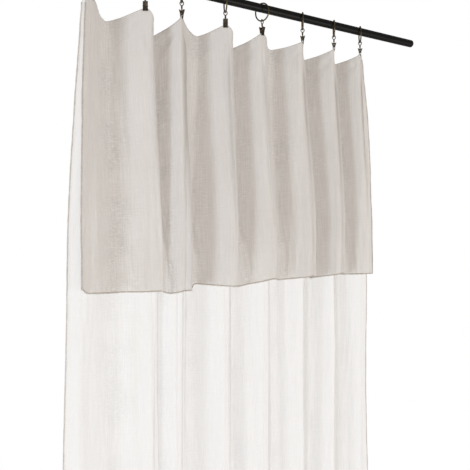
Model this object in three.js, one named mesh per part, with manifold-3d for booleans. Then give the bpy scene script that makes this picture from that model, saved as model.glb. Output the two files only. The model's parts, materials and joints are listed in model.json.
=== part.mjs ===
// Clip-ring curtain: a round rod, eight rings with spring clips, and two layers of gauze
// gripped by the clips. Millimetres, +Z up, +X along the rod, -Y towards the room.
// The origin is on the rod's axis, at the middle of its length.

import * as THREE from "three";
import { mergeVertices } from "three/addons/utils/BufferGeometryUtils.js";
import Module from "manifold-3d";

// ---- driving dimensions -------------------------------------------------------------

const ROD_LENGTH = 1272;
const ROD_RADIUS = 9.5;
const ROD_WALL = 1.2;
const CAP_FLANGE = 2.5;
const CAP_SPIGOT = 14;
const FIT_GAP = 0.3;

// One entry per hanger, left to right. Angles are turns about +Z, in degrees.
const CLIP_X = [-418, -287, -189, -62, 54, 193, 310, 414];
const CLIP_YAW = [26, -40, 36, -42, 6, 34, 36, 34];
const RING_YAW = [-20, -34, -38, -37, 0, -46, -47, -46];

const RING_RADIUS = 19.4; // middle of the wire
const RING_WIRE = 1.6; // wire radius
const RING_DROP_SQUARE = 8.05; // ring centre below the rod's axis, ring square to the rod
const RING_DROP_TURNED = 7.3; // the same for a ring that has turned and ridden up

const LINK_WIRE = 0.7;
const EYE_WIRE = 1.0;
const EYE_RADIUS = 3.7;
const EYE_STRETCH = 1.25; // the eye is an upright oval
const EYE_DROP = 1.68; // eye centre below the ring's wire
const POST_RADIUS = 1.2;
const POST_FOOT = 4.9; // above the pin
const COLLAR_RADIUS = 1.9;
const COLLAR_FOOT = 10.3; // above the pin, clear of the handles when the clip is open
const LOOP_RADIUS = 1.5;
const LOOP_OFFSET = 1.0; // along the pin

const CLIP_WIDTH = 10;
const CLIP_SHEET = 0.7;
const CLIP_TOP_Z = -41.1;
const CLIP_TIP_Z = -59.5;
const PIN_Z = -49.5;
const PIN_RADIUS = 0.65;
const PIN_HEAD_RADIUS = 1.1;
const PIN_HALF = 5.7;
const PIN_HEAD = 0.5;
const HANDLE_SPREAD = 4.9;
const HANDLE_LIP = 0.5;
const WAIST_SPREAD = 2.75;
const JAW_SPREAD = 1.5;
const EAR_RADIUS = 1.8;
const EAR_HOLE = 0.95;
const EAR_SHEET = 0.65;
const WING_FOOT = [2.14, -4.9]; // side wings of a jaw: (from the middle plane, above the pin)
const WING_THROAT = [1.0, -2.6];
const WING_NECK = [1.2, 2.4];
const WING_TOP = [1.4, 7.4];
const BACK_EAR_AT = 4.35;
const FRONT_EAR_AT = 3.3;

const SPRING_WIRE = 0.25;
const SPRING_COIL = 1.35;
const SPRING_TURNS = 2.5;
const SPRING_FROM = -1.85;
const SPRING_TO = -0.05;

const CLOTH_SHEET = 0.6;
const PINCH_OFFSET = 0.55; // each layer's middle from the clip's middle plane
const CLOTH_TOP_Z = -55;
const PINCH_DEPTH = 8; // depth over which the cloth keeps the shape the jaws give it
const FLAP_DROP = 545;
const PANEL_DROP = 2445;
const PANEL_SETBACK = 21; // how far the long panel hangs behind the flap

// Folds between neighbouring clips, at the clips and at the foot of the flap.
const VALLEY_X = [-346, -223, -106, 2, 131, 260, 371];
const VALLEY_Y = [46, 50, 40, 47, 42, 48, 42];
const TOP_SAG = [27, 39, 24, 36, 22, 28, 26];
const LOW_TIP_X = [-428, -250, -197, -55, 68, 205, 319, 428];
const LOW_TIP_Y = [-8, -1, -24, -24, -26, -24, -22, -18];
const LOW_VALLEY_X = [-330, -222, -116, 4, 134, 262, 374];
const LOW_VALLEY_Y = [26, 13, 42, 30, 30, 40, 30];
const HEM_PUSH = [0, -18, 0, -22, -8, 0, 0]; // some folds of the flap run out at its foot
const TIP_LIFT = [-4, -8, -9, -6, 5, 6, 9, 5];
const VALLEY_LIFT = [-3, -8, 4, -1, 3, 3, 8];
const EDGE_LIFT = 6;

// Side edges: [x, y] at the clips, at the foot of the flap, at the foot of the panel.
const FLAP_LEFT = [[-441, -9], [-456, -16], [-456, -16]];
const FLAP_RIGHT = [[425, 3], [450, -11], [450, -11]];
const PANEL_LEFT = [[-448, -8], [-457, 2], [-480, 0]];
const PANEL_RIGHT = [[428, 6], [454, -14], [450, -6]];

const HEM_EASE = 0.78; // fold depth left at the foot of the flap
const HEM_EASE_FROM = 380;
const PANEL_SOFTEN = 0.72; // fold depth of the panel level with the flap's foot
const FOOT_SOFTEN = 0.6; // fold depth left at the foot of the panel

const DEG = Math.PI / 180;
const HANGERS = CLIP_X.length;

// ---- materials ----------------------------------------------------------------------

const MATERIALS = {
  blackRod: new THREE.MeshStandardMaterial({ color: 0x1d1a18, roughness: 0.5, metalness: 0.3 }),
  blackCap: new THREE.MeshStandardMaterial({ color: 0x1b1918, roughness: 0.6, metalness: 0.0 }),
  bronze: new THREE.MeshStandardMaterial({ color: 0x5a4632, roughness: 0.42, metalness: 0.9 }),
  springSteel: new THREE.MeshStandardMaterial({ color: 0x7d7468, roughness: 0.4, metalness: 0.9 }),
  gauze: new THREE.MeshStandardMaterial({ color: 0xf0eee9, roughness: 0.95, metalness: 0.0 }),
  linen: new THREE.MeshStandardMaterial({ color: 0xd6d0c8, roughness: 0.95, metalness: 0.0 }),
};

// ---- solids -------------------------------------------------------------------------

const wasm = await Module();
wasm.setup();

const group = new THREE.Group();
group.name = "clip_ring_curtain";

function add(name, geometry, material) {
  const mesh = new THREE.Mesh(geometry, material);
  mesh.name = name;
  group.add(mesh);
  return mesh;
}

function toManifold(geometry) {
  const bare = geometry.clone();
  bare.deleteAttribute("normal");
  bare.deleteAttribute("uv");
  const merged = mergeVertices(bare, 1e-4);
  return new wasm.Manifold(new wasm.Mesh({
    numProp: 3,
    vertProperties: new Float32Array(merged.attributes.position.array),
    triVerts: new Uint32Array(merged.index.array),
  }));
}

function fromManifold(solid) {
  const mesh = solid.getMesh();
  const geometry = new THREE.BufferGeometry();
  geometry.setAttribute("position", new THREE.BufferAttribute(mesh.vertProperties, 3));
  geometry.setIndex(new THREE.BufferAttribute(mesh.triVerts, 1));
  const faceted = geometry.toNonIndexed();
  faceted.computeVertexNormals();
  return faceted;
}

function union(geometries) {
  let solid = toManifold(geometries[0]);
  for (const geometry of geometries.slice(1)) {
    solid = solid.add(toManifold(geometry));
  }
  return fromManifold(solid);
}

// A ring of round wire lying in the XY plane of its own frame.
function wireRing(radius, wire, around, sides) {
  const profile = [];
  for (let k = 0; k <= sides; k += 1) {
    const turn = (k / sides) * 2 * Math.PI;
    profile.push(new THREE.Vector2(radius + wire * Math.cos(turn), wire * Math.sin(turn)));
  }
  profile[sides].copy(profile[0]);
  const geometry = new THREE.LatheGeometry(profile, around);
  geometry.rotateX(Math.PI / 2);
  return geometry;
}

// Round wire bent along a list of points.
function bentWire(points, wire, steps, sides) {
  const path = new THREE.CatmullRomCurve3(points, false, "centripetal");
  const section = new THREE.Shape();
  for (let k = 0; k < sides; k += 1) {
    const turn = (k / sides) * 2 * Math.PI;
    const x = wire * Math.cos(turn);
    const y = wire * Math.sin(turn);
    if (k === 0) section.moveTo(x, y);
    else section.lineTo(x, y);
  }
  section.closePath();
  return new THREE.ExtrudeGeometry(section, { steps, extrudePath: path, bevelEnabled: false });
}

// ---- the rod ------------------------------------------------------------------------

function turnedAlongX(profile, segments) {
  const points = profile.map(([r, x]) => new THREE.Vector2(r, x));
  const geometry = new THREE.LatheGeometry(points, segments);
  geometry.rotateZ(-Math.PI / 2);
  return geometry;
}

const half = ROD_LENGTH / 2;
const tubeEnd = half - CAP_FLANGE - 0.2;
const boreRadius = ROD_RADIUS - ROD_WALL;
const spigotRadius = boreRadius - FIT_GAP;

add("rod_tube", turnedAlongX([
  [boreRadius, -tubeEnd],
  [ROD_RADIUS - 0.3, -tubeEnd],
  [ROD_RADIUS, -tubeEnd + 0.3],
  [ROD_RADIUS, tubeEnd - 0.3],
  [ROD_RADIUS - 0.3, tubeEnd],
  [boreRadius, tubeEnd],
  [boreRadius, -tubeEnd],
], 48), MATERIALS.blackRod);

for (const [name, turn] of [["rod_cap_right", 0], ["rod_cap_left", Math.PI]]) {
  const cap = turnedAlongX([
    [0, half - CAP_FLANGE - CAP_SPIGOT],
    [spigotRadius - 0.6, half - CAP_FLANGE - CAP_SPIGOT],
    [spigotRadius, half - CAP_FLANGE - CAP_SPIGOT + 1],
    [spigotRadius, half - CAP_FLANGE],
    [ROD_RADIUS, half - CAP_FLANGE],
    [ROD_RADIUS, half - 0.6],
    [ROD_RADIUS - 0.6, half],
    [0, half],
  ], 40);
  cap.rotateZ(turn);
  add(name, cap, MATERIALS.blackCap);
}

// ---- rings, links and clips ---------------------------------------------------------

function ringDrop(i) {
  return Math.abs(RING_YAW[i]) > 20 ? RING_DROP_TURNED : RING_DROP_SQUARE;
}

// Puts a piece made about the clip's own axes (x = width, y = back, z = up) in its place.
function place(geometry, i, yaw) {
  geometry.rotateZ(yaw * DEG);
  geometry.translate(CLIP_X[i], 0, 0);
  return geometry;
}

function makeRing(i) {
  const ring = wireRing(RING_RADIUS, RING_WIRE, 24, 6);
  ring.rotateY(Math.PI / 2);
  ring.translate(0, 0, -ringDrop(i));
  return place(ring, i, RING_YAW[i]);
}

// A round bar on a hanger's upright line, between two heights.
function uprightRound(radius, low, high, i) {
  const bar = new THREE.CylinderGeometry(radius, radius, high - low, 10);
  bar.rotateX(Math.PI / 2);
  bar.translate(CLIP_X[i], 0, (low + high) / 2);
  return bar;
}

function makeLink(i) {
  const eyeZ = -ringDrop(i) - RING_RADIUS - EYE_DROP;
  const eye = wireRing(EYE_RADIUS, EYE_WIRE, 14, 6);
  eye.rotateX(Math.PI / 2);
  eye.scale(1, 1, EYE_STRETCH);
  eye.translate(0, 0, eyeZ);
  place(eye, i, RING_YAW[i]);
  const loop = wireRing(LOOP_RADIUS, LINK_WIRE, 8, 5);
  loop.rotateY(Math.PI / 2);
  loop.translate(LOOP_OFFSET, 0, PIN_Z);
  place(loop, i, CLIP_YAW[i]);
  const postFoot = PIN_Z + POST_FOOT;
  const collarFoot = PIN_Z + COLLAR_FOOT;
  const head = eyeZ - EYE_RADIUS * EYE_STRETCH + 0.3;
  const post = uprightRound(POST_RADIUS, postFoot, collarFoot + 1, i);
  const collar = uprightRound(COLLAR_RADIUS, collarFoot, head, i);
  const side = new THREE.Vector3(LOOP_OFFSET, 0, 0);
  side.applyAxisAngle(new THREE.Vector3(0, 0, 1), CLIP_YAW[i] * DEG);
  const at = (share, z) => new THREE.Vector3(CLIP_X[i] + side.x * share, side.y * share, z);
  const stem = bentWire([
    at(1, PIN_Z + LOOP_RADIUS - 0.1),
    at(1, PIN_Z + LOOP_RADIUS + 1.0),
    at(0.2, postFoot - 0.3),
    at(0, postFoot + 0.6),
  ], LINK_WIRE * 0.98, 4, 5);
  return union([eye, collar, post, loop, stem]);
}

// One bent plate of the clip; side = +1 is the back jaw, -1 the front jaw.
function makeJaw(i, side, earAt) {
  const line = [
    [HANDLE_SPREAD + HANDLE_LIP, CLIP_TOP_Z + 0.1],
    [HANDLE_SPREAD, CLIP_TOP_Z - 0.5],
    [WAIST_SPREAD, PIN_Z],
    [JAW_SPREAD, CLIP_TIP_Z],
  ].map(([n, z]) => new THREE.Vector2(side * n, z));
  const outer = [];
  const inner = [];
  line.forEach((point, k) => {
    const before = line[Math.max(k - 1, 0)];
    const after = line[Math.min(k + 1, line.length - 1)];
    const along = after.clone().sub(before).normalize();
    const across = new THREE.Vector2(-along.y, along.x).multiplyScalar(CLIP_SHEET / 2);
    outer.push(point.clone().add(across));
    inner.push(point.clone().sub(across));
  });
  const plate = new THREE.Shape([...outer, ...inner.reverse()]);
  const parts = [new THREE.ExtrudeGeometry(plate, { depth: CLIP_WIDTH, bevelEnabled: false })];
  parts[0].translate(0, 0, -CLIP_WIDTH / 2);
  for (const end of [-1, 1]) {
    const ear = new THREE.Shape();
    const wing = ([n, z]) => ear.lineTo(side * n, PIN_Z + z);
    ear.moveTo(side * WING_FOOT[0], PIN_Z + WING_FOOT[1]);
    wing(WING_THROAT);
    wing([0, -EAR_RADIUS]);
    for (let k = 1; k < 6; k += 1) {
      const turn = (k / 6) * Math.PI;
      wing([-EAR_RADIUS * Math.sin(turn), -EAR_RADIUS * Math.cos(turn)]);
    }
    wing([0, EAR_RADIUS]);
    wing(WING_NECK);
    wing(WING_TOP);
    wing([HANDLE_SPREAD, CLIP_TOP_Z - 0.5 - PIN_Z]);
    wing([WAIST_SPREAD, 0]);
    ear.closePath();
    const hole = new THREE.Path();
    for (let k = 0; k < 10; k += 1) {
      const turn = (k / 10) * 2 * Math.PI;
      const y = EAR_HOLE * Math.cos(turn);
      const z = PIN_Z + EAR_HOLE * Math.sin(turn);
      if (k === 0) hole.moveTo(y, z);
      else hole.lineTo(y, z);
    }
    hole.closePath();
    ear.holes.push(hole);
    const tab = new THREE.ExtrudeGeometry(ear, { depth: EAR_SHEET, bevelEnabled: false });
    tab.translate(0, 0, end > 0 ? earAt : -earAt - EAR_SHEET);
    parts.push(tab);
  }
  const jaw = union(parts);
  // The shapes were drawn in the (back, up) plane and extruded along the width.
  jaw.applyMatrix4(new THREE.Matrix4().set(0, 0, 1, 0, 1, 0, 0, 0, 0, 1, 0, 0, 0, 0, 0, 1));
  return place(jaw, i, CLIP_YAW[i]);
}

function makePin(i) {
  const pin = turnedAlongX([
    [0, -PIN_HALF],
    [PIN_HEAD_RADIUS, -PIN_HALF],
    [PIN_HEAD_RADIUS, -PIN_HALF + PIN_HEAD],
    [PIN_RADIUS, -PIN_HALF + PIN_HEAD],
    [PIN_RADIUS, PIN_HALF - PIN_HEAD],
    [PIN_HEAD_RADIUS, PIN_HALF - PIN_HEAD],
    [PIN_HEAD_RADIUS, PIN_HALF],
    [0, PIN_HALF],
  ], 8);
  pin.translate(0, 0, PIN_Z);
  return place(pin, i, CLIP_YAW[i]);
}

function makeSpring(i) {
  const points = [];
  const lean = Math.atan2(HANDLE_SPREAD - WAIST_SPREAD, CLIP_TOP_Z - PIN_Z);
  const leg = (side, up, x) => new THREE.Vector3(x, side * (SPRING_COIL + up * Math.tan(lean)), PIN_Z + up);
  points.push(leg(1, 4.2, SPRING_FROM));
  points.push(leg(1, 2.4, SPRING_FROM));
  const count = Math.round(SPRING_TURNS * 7);
  for (let k = 0; k <= count; k += 1) {
    const share = k / count;
    const turn = share * SPRING_TURNS * 2 * Math.PI;
    const x = SPRING_FROM + (SPRING_TO - SPRING_FROM) * share;
    points.push(new THREE.Vector3(
      x,
      SPRING_COIL * Math.cos(turn),
      PIN_Z - SPRING_COIL * Math.sin(turn),
    ));
  }
  points.push(leg(-1, 2.4, SPRING_TO));
  points.push(leg(-1, 4.2, SPRING_TO));
  const spring = bentWire(points, SPRING_WIRE, count + 5, 4);
  return place(spring, i, CLIP_YAW[i]);
}

for (let i = 0; i < HANGERS; i += 1) {
  const n = i + 1;
  add(`ring_${n}`, makeRing(i), MATERIALS.bronze);
  add(`link_${n}`, makeLink(i), MATERIALS.bronze);
  add(`clip_back_${n}`, makeJaw(i, 1, BACK_EAR_AT), MATERIALS.bronze);
  add(`clip_front_${n}`, makeJaw(i, -1, FRONT_EAR_AT), MATERIALS.bronze);
  add(`clip_pin_${n}`, makePin(i), MATERIALS.bronze);
  add(`clip_spring_${n}`, makeSpring(i), MATERIALS.springSteel);
}

// ---- the two layers of cloth --------------------------------------------------------

const mix = (a, b, t) => a + (b - a) * t;

function smooth(t) {
  const s = Math.min(Math.max(t, 0), 1);
  return s * s * (3 - 2 * s);
}

// The line a layer follows in plan at one height, as knots [x, y, slope, top, lift].
// sink runs from 0 at the clips to 1 at the foot of the flap, and foot from there to 1 at
// the foot of the panel.
function planKnots(sink, foot, soften, push, left, right) {
  const low = smooth(sink);
  const edge = (ends, share) => [0, 1].map((axis) => (
    foot > 0 ? mix(ends[1][axis], ends[2][axis], foot) : mix(ends[0][axis], ends[1][axis], share)
  ));
  const knots = [];
  const [leftX, leftY] = edge(left, 1 - (1 - sink) ** 2.4);
  const [rightX, rightY] = edge(right, 1 - (1 - sink) ** 2.2);
  knots.push([leftX, leftY, Math.tan(CLIP_YAW[0] * DEG) * (1 - low), CLOTH_TOP_Z - 6, EDGE_LIFT]);
  for (let i = 0; i < HANGERS; i += 1) {
    const slope = Math.tan(CLIP_YAW[i] * DEG) * (1 - low);
    const reach = 5 * Math.cos(CLIP_YAW[i] * DEG);
    const x = mix(CLIP_X[i], LOW_TIP_X[i], low);
    const y = mix(0, LOW_TIP_Y[i], low) * soften;
    knots.push([x - reach, y - reach * slope, slope, CLOTH_TOP_Z, TIP_LIFT[i]]);
    knots.push([x + reach, y + reach * slope, slope, CLOTH_TOP_Z, TIP_LIFT[i]]);
    if (i < HANGERS - 1) {
      knots.push([
        mix(VALLEY_X[i], LOW_VALLEY_X[i], low),
        (mix(VALLEY_Y[i], LOW_VALLEY_Y[i], low) + HEM_PUSH[i] * push) * soften,
        0,
        CLOTH_TOP_Z - TOP_SAG[i],
        VALLEY_LIFT[i],
      ]);
    }
  }
  const endSlope = Math.tan(CLIP_YAW[HANGERS - 1] * DEG) * (1 - low);
  knots.push([rightX, rightY, endSlope, CLOTH_TOP_Z - 3, EDGE_LIFT]);
  return knots;
}

// A point on that line, a share of the way from one knot to the next.
function planPoint(knots, span, share) {
  const [x0, y0, m0, top0, lift0] = knots[span];
  const [x1, y1, m1, top1, lift1] = knots[span + 1];
  const run = x1 - x0;
  const t2 = share * share;
  const t3 = t2 * share;
  const y = (2 * t3 - 3 * t2 + 1) * y0 + (t3 - 2 * t2 + share) * run * m0
    + (3 * t2 - 2 * t3) * y1 + (t3 - t2) * run * m1;
  const dy = (6 * t2 - 6 * share) * (y0 - y1) / run
    + (3 * t2 - 4 * share + 1) * m0 + (3 * t2 - 2 * share) * m1;
  const ease = smooth(share);
  return { x: mix(x0, x1, share), y, slope: dy, top: mix(top0, top1, ease), lift: mix(lift0, lift1, ease) };
}

// Columns across a clip, from a clip back to a fold, and from a fold out to the next clip.
const COLUMN_SHARES = [[0], [0, 0.12, 0.32, 0.62], [0, 0.38, 0.68, 0.88]];

// Every column of the sheet as [knot span, share of that span].
function sheetColumns() {
  const columns = [];
  const spans = planKnots(0, 0, 1, 0, FLAP_LEFT, FLAP_RIGHT).length - 1;
  for (let span = 0; span < spans; span += 1) {
    const isEdge = span === 0 || span === spans - 1;
    const kind = isEdge ? 0 : (span - 1) % 3;
    for (const share of COLUMN_SHARES[kind]) {
      columns.push([span, share]);
    }
  }
  columns.push([spans - 1, 1]);
  return columns;
}

const HEM_DEPTHS = [0, PINCH_DEPTH, 45, 120, 230, 380, FLAP_DROP];
const PANEL_DEPTHS = [...HEM_DEPTHS, 1150, PANEL_DROP];

// A closed sheet: a front skin, a back skin and a rim, from rows of points in plan.
function makeSheet(depths, left, right, layer) {
  const columns = sheetColumns();
  const rows = depths.map((depth) => {
    const share = Math.min(Math.max((depth - PINCH_DEPTH) / (FLAP_DROP - PINCH_DEPTH), 0), 1);
    const sink = smooth(share);
    const foot = Math.max((depth - FLAP_DROP) / (PANEL_DROP - FLAP_DROP), 0);
    const nearHem = smooth((depth - HEM_EASE_FROM) / (FLAP_DROP - HEM_EASE_FROM));
    const panelSoften = mix(mix(1, PANEL_SOFTEN, sink), FOOT_SOFTEN, foot);
    const soften = layer < 0 ? mix(1, HEM_EASE, nearHem) : panelSoften;
    const knots = planKnots(share, foot, soften, layer < 0 ? nearHem : 0, left, right);
    return columns.map(([span, along]) => {
      const p = planPoint(knots, span, along);
      const lean = Math.sqrt(1 + p.slope * p.slope);
      const setback = layer * PINCH_OFFSET * lean + Math.max(layer, 0) * PANEL_SETBACK * sink;
      const low = p.top - depth + (depth > PINCH_DEPTH ? p.lift * sink : 0);
      const hem = mix(low, CLOTH_TOP_Z - depth + p.lift * sink, sink * 0.85);
      const thick = (CLOTH_SHEET / 2) * lean;
      return { x: p.x, y: p.y + setback, z: hem, thick };
    });
  });
  const width = columns.length;
  const positions = [];
  for (const skin of [-1, 1]) {
    for (const row of rows) {
      for (const p of row) {
        positions.push(p.x, p.y + skin * p.thick, p.z);
      }
    }
  }
  const count = rows.length * width;
  const front = (r, c) => r * width + c;
  const back = (r, c) => count + r * width + c;
  const faces = [];
  const quad = (a, b, c, d) => faces.push(a, b, c, a, c, d);
  for (let r = 0; r < rows.length - 1; r += 1) {
    for (let c = 0; c < width - 1; c += 1) {
      quad(front(r, c), front(r + 1, c), front(r + 1, c + 1), front(r, c + 1));
      faces.push(back(r, c), back(r + 1, c + 1), back(r + 1, c));
      faces.push(back(r, c), back(r, c + 1), back(r + 1, c + 1));
    }
    quad(back(r, 0), back(r + 1, 0), front(r + 1, 0), front(r, 0));
    quad(front(r, width - 1), front(r + 1, width - 1), back(r + 1, width - 1), back(r, width - 1));
  }
  const last = rows.length - 1;
  for (let c = 0; c < width - 1; c += 1) {
    quad(back(0, c), front(0, c), front(0, c + 1), back(0, c + 1));
    quad(front(last, c), back(last, c), back(last, c + 1), front(last, c + 1));
  }
  const geometry = new THREE.BufferGeometry();
  geometry.setAttribute("position", new THREE.Float32BufferAttribute(positions, 3));
  geometry.setIndex(faces);
  geometry.computeVertexNormals();
  return geometry;
}

add("front_flap", makeSheet(HEM_DEPTHS, FLAP_LEFT, FLAP_RIGHT, -1), MATERIALS.linen);
add("long_panel", makeSheet(PANEL_DEPTHS, PANEL_LEFT, PANEL_RIGHT, 1), MATERIALS.gauze);

export default group;
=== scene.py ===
"""Looks for the clip-ring curtain: a black rod, rings with spring clips, two layers of gauze.

Metres throughout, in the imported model's frame: +X along the rod, -Y towards the room, +Z up.
"""

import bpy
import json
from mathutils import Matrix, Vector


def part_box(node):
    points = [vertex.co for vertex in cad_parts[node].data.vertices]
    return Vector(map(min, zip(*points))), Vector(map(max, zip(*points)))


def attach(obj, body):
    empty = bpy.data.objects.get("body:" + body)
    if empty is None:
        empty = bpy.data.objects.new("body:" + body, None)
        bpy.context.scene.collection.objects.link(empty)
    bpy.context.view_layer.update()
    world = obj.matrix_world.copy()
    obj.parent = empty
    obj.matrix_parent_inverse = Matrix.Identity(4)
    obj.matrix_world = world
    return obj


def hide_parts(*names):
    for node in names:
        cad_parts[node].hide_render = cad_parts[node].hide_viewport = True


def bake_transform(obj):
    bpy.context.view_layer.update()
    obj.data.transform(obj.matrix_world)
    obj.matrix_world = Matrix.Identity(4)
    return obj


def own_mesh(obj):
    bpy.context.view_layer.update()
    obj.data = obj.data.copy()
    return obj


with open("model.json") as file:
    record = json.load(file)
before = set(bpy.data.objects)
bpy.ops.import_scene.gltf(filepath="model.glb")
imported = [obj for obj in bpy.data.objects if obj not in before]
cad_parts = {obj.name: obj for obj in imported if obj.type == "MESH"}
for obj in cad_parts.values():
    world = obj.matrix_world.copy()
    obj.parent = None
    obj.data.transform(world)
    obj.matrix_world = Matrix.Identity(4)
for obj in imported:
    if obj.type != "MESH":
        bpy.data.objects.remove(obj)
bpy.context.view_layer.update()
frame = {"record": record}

import json
import math

import bmesh
import bpy
import numpy as np
from mathutils import Vector

MM = 0.001
JOINTS = {j["name"]: j for j in frame["record"]["behaviour"]["joints"]}
HANGERS = 8
SHARP_ANGLE = math.radians(40)

# ---- camera, light and floor ----------------------------------------------------------

CAMERA_SENSOR = 36
CAMERA_LENS = 76.5957
CAMERA_SHIFT = -0.014894  # the horizon lies a little above the middle of the picture
CAMERA_AT = (-1.5822, -1.4720, -0.4830)
CAMERA_TURN = math.radians(43.53)  # between +X and the way the camera looks
LIGHTS = [  # name, place, aimed at, diameter, watts, colour
    ("left_key", (-3.15, -0.93, -1.0), (0, 0, -0.5), 0.6, 43.5, (0.84, 0.925, 1.0)),
    ("front_fill", (-1.9, -2.6, -1.1), (0, 0, -0.6), 1.4, 33, (1.0, 0.985, 0.965)),
    ("right_key", (1.9, -2.1, -1.25), (0, 0, -0.6), 0.6, 36, (1, 1, 1)),
    ("back", (0.6, 3.2, 0.2), (0, 0, -0.6), 2.6, 20, (1, 1, 1)),
]
SKY_SEEN = ((1, 1, 1), 1.0)  # colour and strength of the white behind everything
SKY_LIT = ((1.0, 0.91, 0.82), 0.43)  # of the soft light from all round
SKY_GLOSSY = ((1, 1, 1), 0.3)  # of what shows in the metal

scene = bpy.context.scene
scene.view_settings.view_transform = "Standard"


def new_object(name, data):
    """An object that is in the scene."""
    obj = bpy.data.objects.new(name, data)
    scene.collection.objects.link(obj)
    return obj


camera_data = bpy.data.cameras.new("camera")
camera_data.sensor_width = CAMERA_SENSOR
camera_data.lens = CAMERA_LENS
camera_data.shift_y = CAMERA_SHIFT
camera = new_object("camera", camera_data)
camera.location = CAMERA_AT
camera.rotation_euler = (math.pi / 2, 0, CAMERA_TURN - math.pi / 2)
scene.camera = camera

for name, at, aim, size, watts, colour in LIGHTS:
    light_data = bpy.data.lights.new(name, "AREA")
    light_data.shape = "DISK"
    light_data.size = size
    light_data.energy = watts
    light_data.color = colour
    light = new_object(name, light_data)
    light.location = at
    light.rotation_euler = (Vector(aim) - Vector(at)).to_track_quat("-Z", "Y").to_euler()

scene.world = bpy.data.worlds.new("world")
scene.world.use_nodes = True
sky_nodes = scene.world.node_tree.nodes
sky_links = scene.world.node_tree.links
sky_nodes.clear()
sky_rays = sky_nodes.new("ShaderNodeLightPath")


def sky(colour, strength):
    """A plain background of one colour."""
    node = sky_nodes.new("ShaderNodeBackground")
    node.inputs["Color"].default_value = (*colour, 1)
    node.inputs["Strength"].default_value = strength
    return node.outputs[0]


def sky_choice(ray, others, chosen):
    """The chosen background for one kind of ray and another for the others."""
    node = sky_nodes.new("ShaderNodeMixShader")
    for socket, value in zip(node.inputs, (sky_rays.outputs[ray], others, chosen)):
        sky_links.new(value, socket)
    return node.outputs[0]


light_sky = sky_choice("Is Glossy Ray", sky(*SKY_LIT), sky(*SKY_GLOSSY))
whole_sky = sky_choice("Is Camera Ray", light_sky, sky(*SKY_SEEN))
sky_links.new(whole_sky, sky_nodes.new("ShaderNodeOutputWorld").inputs["Surface"])

FLOOR_GAP = 0.03  # between the panel's foot and the floor
FLOOR_RADIUS = 3.2
FLOOR_SIDES = 96
FLOOR_FADE_FROM = 0.8  # beyond this radius the floor melts into the white background


# ---- materials ------------------------------------------------------------------------


class Nodes:
    """A short way to write a material's nodes."""

    def __init__(self, name):
        self.material = bpy.data.materials.new(name)
        self.material.use_nodes = True
        self.tree = self.material.node_tree
        self.tree.nodes.clear()

    def add(self, kind, inputs=None, **settings):
        node = self.tree.nodes.new("ShaderNode" + kind)
        for key, value in settings.items():
            setattr(node, key, value)
        for key, value in (inputs or {}).items():
            self.put(node.inputs[key], value)
        return node

    def put(self, socket, value):
        if isinstance(value, bpy.types.NodeSocket):
            self.tree.links.new(value, socket)
        else:
            socket.default_value = value

    def math(self, operation, a, b=0.0, clamp=False):
        node = self.add("Math", operation=operation, use_clamp=clamp)
        for socket, value in zip(node.inputs, (a, b)):
            self.put(socket, value)
        return node.outputs[0]

    def weighted(self, a, share_a, b, share_b):
        """a times its share plus b times its share."""
        a_part = self.math("MULTIPLY", a, share_a)
        return self.math("ADD", a_part, self.math("MULTIPLY", b, share_b))

    def noise(self, vector, scale, detail=3.0, roughness=0.5, distortion=0.0):
        node = self.add("TexNoise")
        self.put(node.inputs["Vector"], vector)
        for key, value in (
            ("Scale", scale),
            ("Detail", detail),
            ("Roughness", roughness),
            ("Distortion", distortion),
        ):
            self.put(node.inputs[key], value)
        return node.outputs["Fac"]

    def stretched(self, vector, scale):
        node = self.add("Mapping")
        self.put(node.inputs["Vector"], vector)
        node.inputs["Scale"].default_value = scale
        return node.outputs[0]

    def ramp(self, fac, stops):
        node = self.add("ValToRGB")
        self.put(node.inputs[0], fac)
        elements = node.color_ramp.elements
        while len(elements) > len(stops):
            elements.remove(elements[-1])
        while len(elements) < len(stops):
            elements.new(1.0)
        for element, (position, colour) in zip(elements, stops):
            element.position = position
            element.color = (*colour, 1.0)
        return node.outputs[0]

    def remap(self, value, low, high, to_low, to_high):
        node = self.add("MapRange")
        self.put(node.inputs["Value"], value)
        node.inputs["From Min"].default_value = low
        node.inputs["From Max"].default_value = high
        node.inputs["To Min"].default_value = to_low
        node.inputs["To Max"].default_value = to_high
        return node.outputs[0]

    def multiplied(self, a, b):
        """One colour times another."""
        node = self.add("Mix", data_type="RGBA", blend_type="MULTIPLY")
        self.put(node.inputs[0], 1.0)
        self.put(node.inputs[6], a)
        self.put(node.inputs[7], b)
        return node.outputs[2]

    def bump(self, height, strength, distance):
        node = self.add("Bump")
        self.put(node.inputs["Height"], height)
        node.inputs["Strength"].default_value = strength
        node.inputs["Distance"].default_value = distance
        return node.outputs[0]

    def output(self, shader):
        self.put(self.add("OutputMaterial").inputs["Surface"], shader)
        return self.material


THREAD_PITCH = 0.0013
WEFT_SHARE = 0.93  # weft threads to each warp thread
THREAD_WANDER = 0.0016
PAINTED_CREASE_SHADE = 0.34  # painted shade: how much darker the colour is made along a crease
CRINKLE_STRENGTH = (0.25, 2.1)  # close to a clip, and where the cloth hangs loose
PAINTED_HIGHLIGHT_STRENGTH = (0.03, 0.65)  # of the painted highlights, short light marks across the threads, likewise
BUMP_STRENGTH = 0.5
CLOTH_RELIEF = 0.0011


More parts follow.
